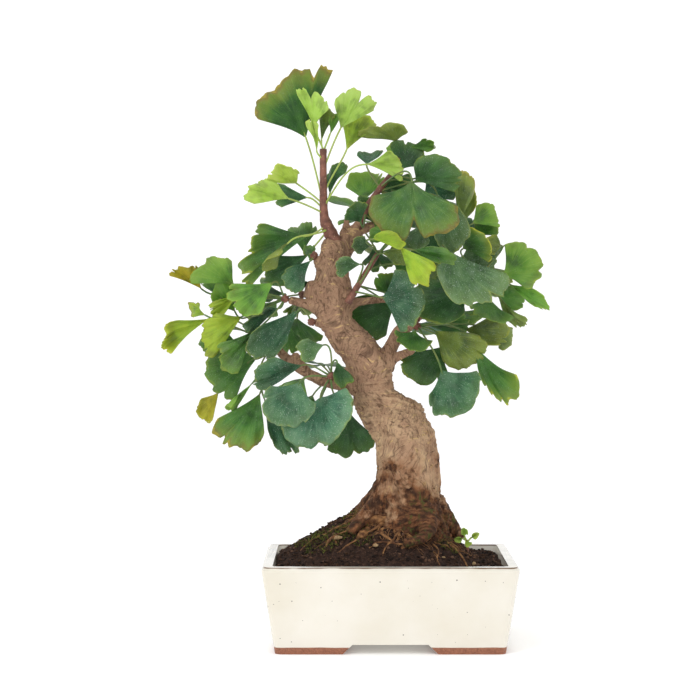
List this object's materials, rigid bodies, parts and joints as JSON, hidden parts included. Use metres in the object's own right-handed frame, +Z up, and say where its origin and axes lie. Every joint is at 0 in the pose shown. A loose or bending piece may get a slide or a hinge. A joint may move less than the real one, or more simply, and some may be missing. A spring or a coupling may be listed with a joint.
{
  "type": "ginkgo bonsai",
  "caption": "Small ginkgo tree with a thick curved trunk and fan-shaped leaves, growing in a heap of soil in a cream glazed rectangular pot on corner feet.",
  "frame": {"origin": "middle of the whole plant's bounding box, at the level the pot's feet stand on", "axes": "+Z up, +X to the viewer's right as pictured, -Y towards the viewer"},
  "size_m": [0.3286, 0.1824, 0.4878],
  "materials": {
    "cream_glaze": "cream stoneware glaze with small dark specks, unglazed clay on the feet",
    "potting_soil": "dark crumbly potting soil with moss",
    "bark": "tan bark with fine cracks",
    "young_leaf": "soft yellow-green leaf",
    "leaf": "satin green leaf with fan veins",
    "weed": "soft pale green leaf"
  },
  "bodies": {
    "root": {"pot": "cream_glaze", "soil": "potting_soil", "trunk": "bark", "apex_shoot": "young_leaf", "left_upper_shoot": "leaf", "left_shoot": "leaf", "left_low_spur_shoot": "leaf", "low_left_shoot": "leaf", "inner_left_shoot": "leaf", "crown_shoot": "leaf", "mid_shoot": "leaf", "peach_shoot": "leaf", "low_right_shoot": "leaf", "back_top_shoot": "leaf", "back_middle_shoot": "leaf", "back_right_shoot": "leaf", "back_low_left_shoot": "leaf", "back_crown_shoot": "leaf", "back_far_right_shoot": "leaf", "weed_seedling": "weed"}
  },
  "joints": []
}
